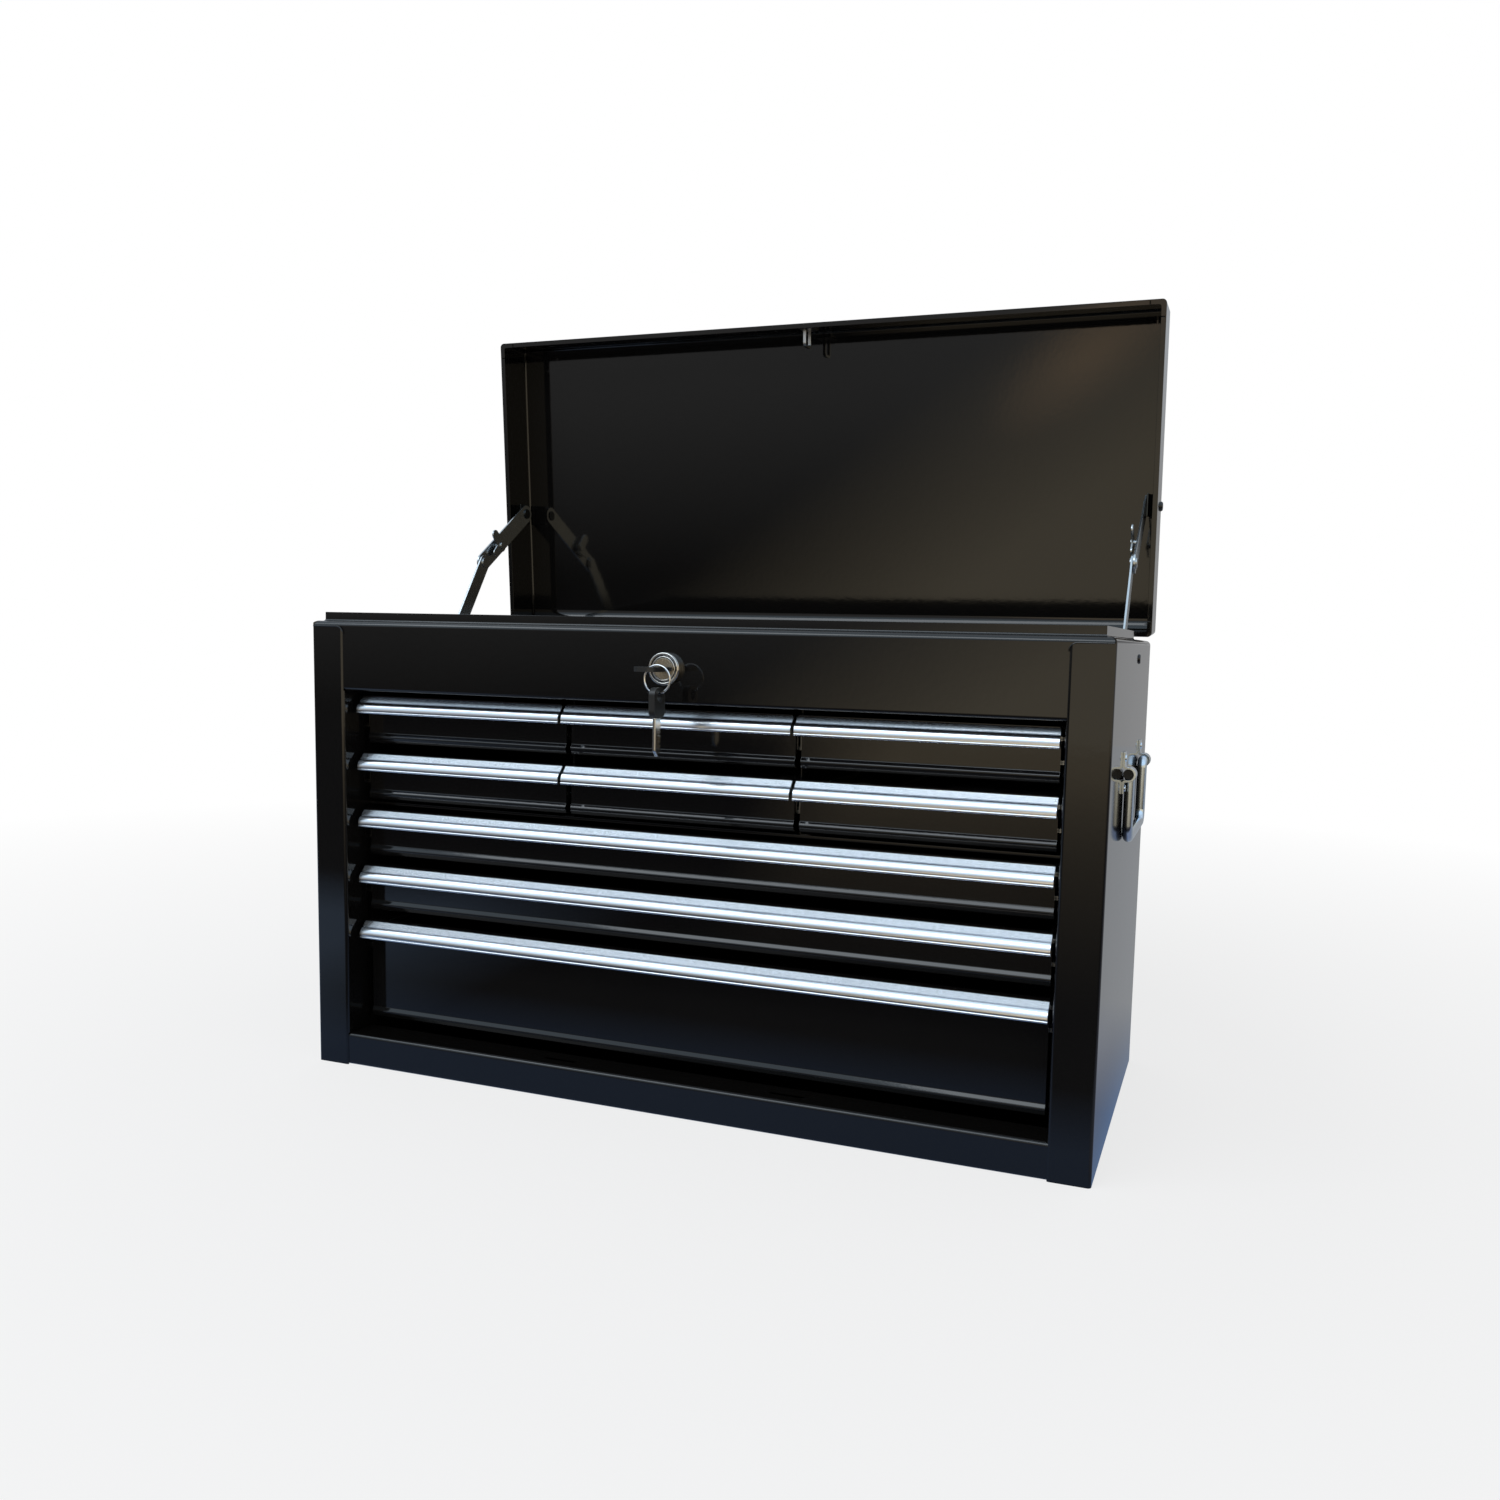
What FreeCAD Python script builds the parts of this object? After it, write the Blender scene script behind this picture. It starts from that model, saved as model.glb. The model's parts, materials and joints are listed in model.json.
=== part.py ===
import FreeCAD, Part
import math
import os

os.makedirs("parts", exist_ok=True)

# The frame is in millimetres, with the origin at the centre of the underside,
# +X to the right, the drawer fronts towards -Y and +Z up. The lid is modelled
# closed and then swung open about its hinge, which is how the chest stands.

# Case
case_width = 600.0
case_depth = 260.0
case_sheet = 1.0
case_bend = 1.5
overrun = 5.0
close_enough = 0.001

# Front posts and rear flanges of the side panels
post_width = 28.65
post_return = 22.9
post_corner = 5.5
rear_flange = 15.0
notch_gap = 0.35

# Shoulder round the top, which the lid's rim stands over
shoulder_start = 341.0
shoulder_radius = 4.0
shoulder_step = 7.0
lip_height = 6.75
side_lip_rear = 57.0
back_return = 12.0

# Front panel with the lock
front_panel_height = 52.15
front_panel_return = 12.0

# Base pan with the bottom rail
rail_height = 24.9
rail_return = 27.0
rail_hem = 6.0
pan_flange = 15.0
slot_length = 26.0
slot_width = 5.0
slot_offset = 90.0
slot_setback = 13.0

# Till floor, inner walls, dividers and the shelf between the drawer rows
inner_sheet = 0.8
wall_flange = 10.0
wall_front_setback = 14.0
wall_clearance = 2.0
divider_offset = 89.3
divider_flange = 8.0
shelf_gap = 3.97
shelf_hem = 8.0
inner_front_setback = 30.0

# Drawers
top_row_gap = 4.45
narrow_rows = 2
drawer_rows = 5
row_pitch = 43.93
face_setback = 23.0
drawer_sheet = 0.8
front_rise = 13.5
front_drop = 23.3
deep_front_gap = 8.8
flare_height = 7.9
flare_lip = 4.8
flare_out = 1.9
flare_lean = 2.2
front_hem = 6.0
front_flange = 7.0
front_side_return = 5.0
front_bend = 0.8
flare_bend = 1.2
box_floor_gap = 1.0
box_top_gap = 4.5
box_depth = 217.0
box_hem = 5.0
box_back_drop = 3.0
box_bend = 0.8

# Drawer pulls
pull_side_gap = 4.35
pull_gap = 2.6
pull_overhang = 0.85
pull_depth = 14.0
pull_wall = 1.6
pull_cap = 1.0
pull_leg = 5.0
pull_rib_count = 7
pull_rib_depth = 0.15
pull_groove = 0.7

# Drawer slides
slide_width = 9.0
slide_height = 18.0
slide_sheet = 1.2
slide_bend = 0.6
slide_gap = 0.3
slide_flange_gap = 0.8
slide_setback = 3.0
slide_length = 205.0
slide_drop = 11.75

# Lid and its continuous hinge
lid_rim_gap = 1.0
lid_depth = 40.0
lid_sheet = 1.0
lid_corner = 3.5
lid_edge = 2.6
lid_return = 4.0
lid_seam = 13.0
lid_seam_width = 0.8
lid_open_angle = 86.4
hinge_offset = 4.0
hinge_drop = 1.0
hinge_length = 560.0
hinge_knuckles = 15
hinge_radius = 3.0
hinge_pin_radius = 1.5
hinge_fit = 0.05
hinge_leaf = 1.2
hinge_leaf_height = 20.0
hinge_leaf_start = 6.0
hinge_knuckle_gap = 0.4
hinge_bend = 0.5

# Lid stays, in the side view (y, z)
stay_case_pivot_y = 29.0
stay_case_pivot_drop = 10.0
stay_lid_pivot_y = 25.0
stay_lid_pivot_rise = 17.0
lower_arm_length = 85.4
upper_arm_length = 87.4
lower_arm_width = 13.5
upper_arm_width = 16.0
arm_sheet = 1.5
arm_gap = 0.3
arm_inset = 11.5
stay_journal = 2.5
stay_fit = 0.06
stay_head_radius = 4.5
stay_head = 0.9
stay_standoff = 4.5
bracket_sheet = 1.2
bracket_width = 18.0
bracket_foot = 9.0
bracket_reach = 7.0
bracket_bend = 1.0
lever_distance = 29.3
lever_sheet = 1.2
lever_pivot = 2.0
lever_lobe_reach = 13.5
lever_lobe_angle = 102.0
lever_lobe_radius = 4.5
lever_hub_radius = 5.5
lever_tail_reach = 12.0
lever_tail_radius = 3.0

# Lock with its cam and the key in it
lock_above_panel_edge = 24.15
bezel_radius = 11.25
bezel_proud = 4.5
bezel_round = 1.5
lock_body_radius = 9.5
lock_body_end = 7.7
plug_radius = 7.2
plug_fit = 0.06
plug_proud = 5.0
plug_hub_radius = 5.0
plug_hub_end = 15.0
keyway_width = 8.2
keyway_height = 2.4
lock_nut_flats = 24.0
lock_nut_height = 3.0
cam_sheet = 2.0
cam_hub_radius = 8.0
cam_arm_width = 8.0
cam_inner_reach = 38.5
cam_outer_reach = 44.5
cam_arm_angle = 16.0
cam_finger_angle = 6.0

# Keys and their ring
key_head_width = 16.0
key_head_length = 23.0
key_head_sheet = 3.2
key_head_corner = 5.0
key_hole_width = 7.6
key_hole_length = 12.0
key_hole_setback = 4.5
key_blade_width = 8.0
key_blade_sheet = 2.2
key_shoulder = 8.0
key_blade_length = 26.0
key_cut_pitch = 3.0
key_land_share = 1 / 3
key_cut_shares = (0.16, 0.3, 0.1, 0.34, 0.22)
ring_radius = 9.4
ring_wire = 0.65
ring_fit = 0.35
spare_head_width = 15.5
spare_head_length = 20.0
spare_head_sheet = 4.4
spare_hole_radius = 3.6
spare_hole_web = 2.6

# Staple inside the lid's front wall
staple_plate_height = 20.0
staple_plate_width = 14.0
staple_plate = 1.5
staple_low = 6.5
staple_reach = 15.5
staple_gap = 10.0
staple_strip = 2.0
staple_width = 2.5
staple_corner = 2.5

# Bail handles on the sides
bail_centre_y = 7.5
bail_pivot_height = 255.0
bail_half_span = 49.0
bail_pin_length = 13.0
bail_drop = 45.0
bail_radius = 3.5
bail_corner = 9.0
bail_wall_gap = 0.3
clip_width = 10.8
clip_offset = 59.5
clip_sheet = 1.5
clip_fit = 0.1
clip_bend = 0.8
clip_upper = 15.0
clip_lower = 13.0

# Sizes that follow from those above
half_width = case_width / 2
half_depth = case_depth / 2
inner_half_width = half_width - case_sheet
panel_half_width = inner_half_width - case_bend
front_plane = -half_depth + case_sheet
back_plane = half_depth - case_sheet
post_inner = half_width - post_width
wall_face = post_inner + case_sheet
ledge_height = shoulder_start + shoulder_radius
lip_front = front_plane + shoulder_step - case_sheet
lip_side = half_width - shoulder_step
lip_top = ledge_height + lip_height
front_panel_bottom = ledge_height - front_panel_height
lock_height = front_panel_bottom + lock_above_panel_edge
pull_bottom_top_row = front_panel_bottom - top_row_gap - front_rise
shelf_bottom = pull_bottom_top_row - row_pitch * (narrow_rows - 1) - front_drop - shelf_gap
deep_front_bottom = rail_height + deep_front_gap
till_level = front_panel_bottom + case_sheet
face_plane = -half_depth + face_setback
inner_front = -half_depth + inner_front_setback
inner_back = back_plane - case_sheet
wall_back = inner_back - case_sheet - case_bend
pull_height = front_rise - drawer_sheet
pull_half_span = post_inner - pull_side_gap
lid_rim = ledge_height + lid_rim_gap
lid_top = lid_rim + lid_depth
stay_case_pivot_z = shoulder_start - stay_case_pivot_drop
stay_lid_pivot_z = lid_rim + stay_lid_pivot_rise
hinge_y = half_depth + hinge_offset
hinge_z = ledge_height - hinge_drop


def point(x, y, z):
    return FreeCAD.Vector(x, y, z)


# Outlines are lists of corners (u, v) or (u, v, radius). A plane function
# turns u and v into a point of the part's frame.
def on_yz(x):
    return lambda u, v: point(x, u, v)


def on_xz(y):
    return lambda u, v: point(u, y, v)


def on_xy(z):
    return lambda u, v: point(u, v, z)


def rounded_edges(corners, plane, closed):
    places = []
    last = len(corners) - 1
    for index, corner in enumerate(corners):
        u, v = corner[0], corner[1]
        radius = corner[2] if len(corner) > 2 else 0
        at_end = not closed and index in (0, last)
        if radius == 0 or at_end:
            places.append(((u, v), (u, v), (u, v)))
            continue
        before = corners[index - 1]
        after = corners[(index + 1) % len(corners)]
        to_before = unit(before[0] - u, before[1] - v)
        to_after = unit(after[0] - u, after[1] - v)
        cosine = to_before[0] * to_after[0] + to_before[1] * to_after[1]
        half_angle = math.acos(max(-1, min(1, cosine))) / 2
        reach = radius / math.tan(half_angle)
        rise = radius / math.sin(half_angle) - radius
        inward = unit(to_before[0] + to_after[0], to_before[1] + to_after[1])
        places.append((
            (u + to_before[0] * reach, v + to_before[1] * reach),
            (u + inward[0] * rise, v + inward[1] * rise),
            (u + to_after[0] * reach, v + to_after[1] * reach),
        ))
    edges = []
    for index, (start, middle, end) in enumerate(places):
        first, second, third = plane(*start), plane(*middle), plane(*end)
        if first.distanceToPoint(third) > close_enough:
            edges.append(Part.Arc(first, second, third).toShape())
        if not closed and index == last:
            break
        following = plane(*places[(index + 1) % len(places)][0])
        if third.distanceToPoint(following) > close_enough:
            edges.append(Part.makeLine(third, following))
    return edges


def unit(u, v):
    length = math.hypot(u, v)
    return u / length, v / length


def prism(corners, plane, direction):
    wire = Part.Wire(rounded_edges(corners, plane, True))
    return Part.Face(wire).extrude(direction)


def along_x(corners, x_from, x_to):
    return prism(corners, on_yz(x_from), point(x_to - x_from, 0, 0))


def along_y(corners, y_from, y_to):
    return prism(corners, on_xz(y_from), point(0, y_to - y_from, 0))


def along_z(corners, z_from, z_to):
    return prism(corners, on_xy(z_from), point(0, 0, z_to - z_from))


def block(x_from, x_to, y_from, y_to, z_from, z_to):
    corner = point(x_from, y_from, z_from)
    return Part.makeBox(x_to - x_from, y_to - y_from, z_to - z_from, corner)


def rod_x(y, z, radius, x_from, x_to):
    start = min(x_from, x_to)
    return Part.makeCylinder(radius, abs(x_to - x_from), point(start, y, z), point(1, 0, 0))


def rod_y(x, z, radius, y_from, y_to):
    return Part.makeCylinder(radius, y_to - y_from, point(x, y_from, z), point(0, 1, 0))


# Outline of a bent sheet. The path runs along one of its faces, and the sheet
# lies to the left of the path. Both faces get concentric bends.
def folded(path, sheet, bend):
    near, far = [], []
    for index, place in enumerate(path):
        u, v = place[0], place[1]
        inside = place[2] if len(place) > 2 else bend
        before = path[index - 1] if index > 0 else None
        after = path[index + 1] if index < len(path) - 1 else None
        arriving = unit(u - before[0], v - before[1]) if before else None
        leaving = unit(after[0] - u, after[1] - v) if after else arriving
        arriving = arriving or leaving
        turn = arriving[0] * leaving[1] - arriving[1] * leaving[0]
        spread = 1 + arriving[0] * leaving[0] + arriving[1] * leaving[1]
        shift_u = -(arriving[1] + leaving[1]) / spread * sheet
        shift_v = (arriving[0] + leaving[0]) / spread * sheet
        ends = before is None or after is None
        near_radius = 0 if ends else inside + sheet if turn > 0 else inside
        far_radius = 0 if ends else inside if turn > 0 else inside + sheet
        near.append((u, v, near_radius))
        far.append((u + shift_u, v + shift_v, far_radius))
    return near + far[::-1]


def rectangle(u_from, u_to, v_from, v_to, radius=0):
    return [(u_from, v_from, radius), (u_to, v_from, radius),
            (u_to, v_to, radius), (u_from, v_to, radius)]


def mirrored(shape):
    return shape.mirror(point(0, 0, 0), point(1, 0, 0))


def joined(first, *others):
    return first.fuse(list(others)).removeSplitter()


# Everything on the lid is drawn closed and turned open about the hinge.
def opened(shape):
    turned = shape.copy()
    turned.rotate(point(0, hinge_y, hinge_z), point(1, 0, 0), -lid_open_angle)
    return turned


def case_plan(z_from, z_to):
    corner = case_bend + case_sheet
    outline = rectangle(-half_width, half_width, -half_depth, half_depth, corner)
    return along_z(outline, z_from, z_to)


# Wedge in front of the mitre where the front and side shoulders meet
def mitre_front_part():
    reach = shoulder_step + overrun
    corners = [(half_width, -half_depth), (half_width - reach, -half_depth + reach),
               (half_width - reach, -half_depth - overrun),
               (half_width, -half_depth - overrun)]
    return along_z(corners, shoulder_start, lip_top + overrun)


def mitre_side_part():
    reach = shoulder_step + overrun
    corners = [(half_width, -half_depth), (half_width - reach, -half_depth + reach),
               (half_width + overrun, -half_depth + reach),
               (half_width + overrun, -half_depth)]
    return along_z(corners, shoulder_start, lip_top + overrun)


def side_panel():
    plan = folded([
        (post_inner, -half_depth + post_return),
        (post_inner, -half_depth),
        (half_width, -half_depth),
        (half_width, half_depth),
        (half_width - rear_flange, half_depth),
    ], case_sheet, case_bend)
    wall = along_z(plan, 0, shoulder_start)
    # The post's return stops short of the rail below and the panel above
    behind_post = -half_depth + case_sheet
    return_back = -half_depth + post_return + overrun
    return_side = post_inner + case_sheet + case_bend + overrun
    low_notch = block(post_inner - overrun, return_side, behind_post, return_back,
                      -overrun, rail_height + notch_gap)
    high_notch = block(post_inner - overrun, return_side, behind_post, return_back,
                       front_panel_bottom - notch_gap, shoulder_start + overrun)
    round_block = block(post_inner - overrun, post_inner + post_corner,
                        -half_depth - overrun, behind_post + overrun,
                        shoulder_start - post_corner, shoulder_start + overrun)
    round_core = rod_y(post_inner + post_corner, shoulder_start - post_corner, post_corner,
                       -half_depth - overrun, behind_post + overrun)
    wall = wall.cut([low_notch, high_notch, round_block.cut(round_core)])
    section = folded([
        (half_width, shoulder_start),
        (half_width, ledge_height, shoulder_radius - case_sheet),
        (lip_side, ledge_height),
        (lip_side, lip_top),
    ], case_sheet, case_bend)
    shoulder = along_y(section, -half_depth, half_depth)
    rear_lip = block(lip_side - shoulder_step, lip_side + case_bend, side_lip_rear, half_depth + overrun,
                     ledge_height, lip_top + overrun)
    shoulder = shoulder.common(case_plan(shoulder_start, lip_top + overrun))
    shoulder = shoulder.cut([rear_lip, mitre_front_part()])
    return joined(wall, shoulder)


def front_panel():
    section = folded([
        (lip_front, lip_top),
        (lip_front, ledge_height),
        (front_plane, ledge_height, shoulder_radius - case_sheet),
        (front_plane, front_panel_bottom),
        (front_plane + front_panel_return, front_panel_bottom),
    ], case_sheet, case_bend)
    panel = along_x(section, -half_width, half_width)
    side_trim = block(panel_half_width, half_width + overrun, -half_depth, 0,
                      0, shoulder_start)
    mitre = mitre_side_part()
    bore = rod_y(0, lock_height, lock_body_radius + plug_fit,
                 front_plane - overrun, front_plane + overrun)
    return panel.cut([side_trim, mirrored(side_trim), mitre, mirrored(mitre), bore])


def back_panel():
    section = folded([
        (back_plane, 0),
        (back_plane, ledge_height),
        (back_plane - back_return, ledge_height),
    ], case_sheet, case_bend)
    panel = along_x(section, -panel_half_width, panel_half_width)
    corner_notch = block(lip_side - case_sheet - notch_gap, half_width, 0, half_depth,
                         shoulder_start - notch_gap, ledge_height + overrun)
    return panel.cut([corner_notch, mirrored(corner_notch)])


def base_pan():
    rail_back = front_plane + rail_return
    section = folded([
        (rail_back, rail_height - rail_hem),
        (rail_back, rail_height),
        (front_plane, rail_height),
        (front_plane, 0),
        (inner_back, 0),
        (inner_back, pan_flange),
    ], case_sheet, case_bend)
    pan = along_x(section, -panel_half_width, panel_half_width)
    slot_y = front_plane + slot_setback
    slot_outline = rectangle(slot_offset - slot_length / 2, slot_offset + slot_length / 2,
                             slot_y - slot_width / 2, slot_y + slot_width / 2,
                             slot_width / 2 - inner_sheet)
    slot = along_z(slot_outline, rail_height - case_sheet - notch_gap, rail_height + notch_gap)
    return pan.cut([slot, mirrored(slot)])


def till_floor():
    section = folded([
        (-inner_half_width, till_level),
        (inner_half_width, till_level),
    ], case_sheet, case_bend)
    return along_y(section, front_plane + case_sheet + case_bend, inner_back - case_bend)


def slide_wall():
    section = folded([
        (wall_face + wall_flange, case_sheet),
        (wall_face, case_sheet),
        (wall_face, till_level),
        (wall_face + wall_flange, till_level),
    ][::-1], inner_sheet, box_bend)
    wall = along_y(section, -half_depth + wall_front_setback, wall_back)
    rail_clear = block(wall_face - overrun, half_width, -half_depth,
                       front_plane + rail_return + wall_clearance, 0,
                       rail_height + notch_gap)
    return wall.cut(rail_clear)


def column_divider():
    left = divider_offset - inner_sheet / 2
    section = folded([
        (left + divider_flange, shelf_bottom + case_sheet),
        (left, shelf_bottom + case_sheet),
        (left, till_level),
        (left + divider_flange, till_level),
    ][::-1], inner_sheet, box_bend)
    return along_y(section, inner_front, inner_back)


def cross_shelf():
    shelf_top = shelf_bottom + case_sheet
    sheet = block(-wall_face, wall_face, inner_front, inner_back, shelf_bottom, shelf_top)
    hem = block(-wall_face, wall_face, inner_front, inner_front + shelf_hem,
                shelf_bottom - case_sheet, shelf_bottom)
    return joined(sheet, hem)


# A slide member is a channel with its web at x_web and its flanges running
# towards +X or -X.
def channel(x_web, towards, z_middle, height, depth):
    outer = folded([
        (x_web - depth, z_middle - height / 2),
        (x_web, z_middle - height / 2),
        (x_web, z_middle + height / 2),
        (x_web - depth, z_middle + height / 2),
    ], slide_sheet, slide_bend)
    if towards > 0:
        outer = [(x_web + x_web - u, v, radius) for u, v, radius in outer]
    start = face_plane + front_side_return + slide_setback
    return along_y(outer, start, start + slide_length)


# Each drawer has the ends of its pull, its two carrying faces, the bottom of
# its pull and the bottom edge of its front.
def drawer_table():
    divider_face = divider_offset + inner_sheet / 2
    divider_near = divider_offset - inner_sheet / 2
    split = divider_offset
    columns = (
        ("left", -pull_half_span, -split - pull_gap / 2, -wall_face, -divider_face),
        ("middle", -split + pull_gap / 2, split - pull_gap / 2, -divider_near, divider_near),
        ("right", split + pull_gap / 2, pull_half_span, divider_face, wall_face),
    )
    drawers = []
    for row in range(1, drawer_rows + 1):
        bottom = pull_bottom_top_row - (row - 1) * row_pitch
        low = deep_front_bottom if row == drawer_rows else bottom - front_drop
        if row <= narrow_rows:
            for column, left, right, wall_left, wall_right in columns:
                drawers.append((f"drawer_{row}_{column}", left, right,
                                wall_left, wall_right, bottom, low))
        else:
            drawers.append((f"drawer_{row}", -pull_half_span, pull_half_span,
                            -wall_face, wall_face, bottom, low))
    return drawers


def slide_level(bottom):
    return bottom + front_rise - box_top_gap - slide_drop


def slide_rails():
    reach = slide_width - slide_flange_gap
    rails = []
    for name, left, right, wall_left, wall_right, bottom, low in drawer_table():
        level = slide_level(bottom)
        rails.append(channel(wall_left, 1, level, slide_height, reach))
        rails.append(channel(wall_right, -1, level, slide_height, reach))
    return Part.makeCompound(rails)


def drawer_runners(wall_left, wall_right, bottom):
    height = slide_height - slide_sheet * 2 - slide_gap * 2
    reach = slide_width - slide_sheet - slide_gap
    level = slide_level(bottom)
    return Part.makeCompound([
        channel(wall_left + slide_width, -1, level, height, reach),
        channel(wall_right - slide_width, 1, level, height, reach),
    ])


def drawer_box(left, right, wall_left, wall_right, bottom, low):
    # Folded front: a flange under the pull, the face and the flared lower edge
    flare_start = low + flare_height
    front_section = folded([
        (face_plane - front_flange, bottom + pull_height),
        (face_plane, bottom + pull_height),
        (face_plane, flare_start, flare_bend),
        (face_plane - flare_out, low + flare_lip, flare_bend),
        (face_plane - flare_out + flare_lean, low),
        (face_plane - flare_out + front_hem, low),
    ], drawer_sheet, front_bend)
    front_left = left + pull_overhang
    front_right = right - pull_overhang
    front = along_x(front_section, front_left, front_right)
    returns = [
        block(edge, edge + drawer_sheet, face_plane + drawer_sheet,
              face_plane + front_side_return, flare_start + front_bend, bottom + pull_height)
        for edge in (front_left, front_right - drawer_sheet)
    ]
    box_left = wall_left + slide_width
    box_right = wall_right - slide_width
    box_floor = flare_start + box_floor_gap
    box_top = bottom + front_rise - box_top_gap
    tray_section = folded([
        (box_left + box_hem, box_top),
        (box_left, box_top),
        (box_left, box_floor),
        (box_right, box_floor),
        (box_right, box_top),
        (box_right - box_hem, box_top),
    ], drawer_sheet, box_bend)
    tray_front = face_plane + drawer_sheet
    tray_back = face_plane + box_depth
    tray = along_y(tray_section, tray_front, tray_back)
    back = block(box_left + drawer_sheet, box_right - drawer_sheet,
                 tray_back - drawer_sheet, tray_back,
                 box_floor, box_top - box_back_drop)
    return joined(front, tray, back, *returns)


# Section of the pull: u runs forward from the drawer's face and v up from the
# pull's lower edge. It hangs under the front's flange. A ribbed slope leads
# down to a smooth nose with a bead below, and fingers fit behind the nose.
slope_end_share = (0.736, 0.70)
nose_top_share = (0.77, 0.67)
nose_middle_share = (0.93, 0.48)
nose_end_share = (1.0, 0.2)
bead_top_share = 0.15
inner_knee_share = (0.62, 0.6)


def pull_point(share, bottom):
    return face_plane - pull_depth * share[0], bottom + pull_height * share[1]


def pull_outer(bottom):
    top = bottom + pull_height
    slope_from = (face_plane - front_flange, top)
    slope_to = pull_point(slope_end_share, bottom)
    run = slope_to[0] - slope_from[0], slope_to[1] - slope_from[1]
    normal = unit(run[1], -run[0])
    ridge = []
    for rib in range(pull_rib_count):
        start_share = rib / pull_rib_count
        dip_share = (rib + 0.5) / pull_rib_count
        ridge.append((slope_from[0] + run[0] * start_share,
                      slope_from[1] + run[1] * start_share))
        ridge.append((slope_from[0] + run[0] * dip_share - normal[0] * pull_rib_depth,
                      slope_from[1] + run[1] * dip_share - normal[1] * pull_rib_depth))
    ridge.append(slope_to)
    groove = (slope_to[0] - normal[0] * pull_groove, slope_to[1] - normal[1] * pull_groove)
    return slope_from, ridge, groove


def pull_face(bottom, hollow, x):
    plane = on_yz(x)
    slope_from, ridge, groove = pull_outer(bottom)
    nose_top = pull_point(nose_top_share, bottom)
    nose_middle = pull_point(nose_middle_share, bottom)
    nose_end = pull_point(nose_end_share, bottom)
    bead_front = nose_end[0]
    bead_top = bottom + pull_height * bead_top_share
    bead_back = bead_front + pull_groove
    top = bottom + pull_height
    line = [(face_plane - front_bend, top)] + ridge + [groove, nose_top]
    edges = [Part.makeLine(plane(*a), plane(*b)) for a, b in zip(line, line[1:])]
    edges.append(Part.Arc(plane(*nose_top), plane(*nose_middle), plane(*nose_end)).toShape())
    bead = [nose_end, (bead_back, nose_end[1]), (bead_back, bead_top)]
    edges += [Part.makeLine(plane(*a), plane(*b)) for a, b in zip(bead, bead[1:])]
    bead_middle = (bead_front, (bead_top + bottom) / 2)
    edges.append(Part.Arc(plane(*bead[-1]), plane(*bead_middle),
                          plane(bead_back, bottom)).toShape())
    inner_front_u = bead_front + pull_groove + pull_wall
    under_tongue = top - pull_wall
    if hollow:
        knee = pull_point(inner_knee_share, bottom)
        rest = [
            (bead_back, bottom), (inner_front_u, bottom), (inner_front_u, nose_end[1]), knee,
            (slope_from[0] + pull_wall / 2, under_tongue),
            (face_plane - pull_wall, under_tongue),
            (face_plane - pull_wall, under_tongue - pull_leg),
            (face_plane, under_tongue - pull_leg),
        ]
    else:
        rest = [(bead_back, bottom), (face_plane, bottom)]
    rest += [(face_plane, top - front_bend), (face_plane - front_bend, top)]
    edges += [Part.makeLine(plane(*a), plane(*b)) for a, b in zip(rest, rest[1:])]
    return Part.Face(Part.Wire(edges))


def drawer_pull(left, right, bottom):
    bar = pull_face(bottom, True, left).extrude(point(right - left, 0, 0))
    left_cap = pull_face(bottom, False, left).extrude(point(pull_cap, 0, 0))
    right_cap = pull_face(bottom, False, right - pull_cap).extrude(point(pull_cap, 0, 0))
    return joined(bar, left_cap, right_cap)


def lid_outline(inset):
    corner = lid_corner - inset if inset < lid_corner else lid_corner / 2
    return rectangle(-half_width + inset, half_width - inset,
                     -half_depth + inset, half_depth - inset, corner)


def rounded_top(solid, top, radius):
    edges = [edge for edge in solid.Edges
             if all(abs(vertex.Z - top) < close_enough for vertex in edge.Vertexes)]
    return solid.makeFillet(radius, edges)


def lid_tray():
    outer = rounded_top(along_z(lid_outline(0), lid_rim, lid_top), lid_top, lid_edge)
    inner_top = lid_top - lid_sheet
    inner = rounded_top(along_z(lid_outline(lid_sheet), lid_rim - overrun, inner_top),
                        inner_top, lid_edge - lid_sheet)
    rim = along_z(lid_outline(lid_sheet / 2), lid_rim, lid_rim + lid_sheet)
    rim = rim.cut(along_z(lid_outline(lid_return), lid_rim - overrun, lid_rim + overrun))
    # Seams of the return near each corner
    seams = []
    for side_x in (-1, 1):
        for side_y in (-1, 1):
            wall_x = side_x * (half_width - lid_sheet)
            wall_y = side_y * (half_depth - lid_sheet)
            seam_x = side_x * (half_width - lid_seam)
            seam_y = side_y * (half_depth - lid_seam)
            inside_x = wall_x - side_x * lid_return
            inside_y = wall_y - side_y * lid_return
            seams.append(block(seam_x, seam_x + lid_seam_width,
                               min(wall_y, inside_y), max(wall_y, inside_y),
                               lid_rim - overrun, lid_rim + overrun))
            seams.append(block(min(wall_x, inside_x), max(wall_x, inside_x),
                               seam_y, seam_y + lid_seam_width,
                               lid_rim - overrun, lid_rim + overrun))
    return opened(joined(outer.cut(inner), rim.cut(seams)))


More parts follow.
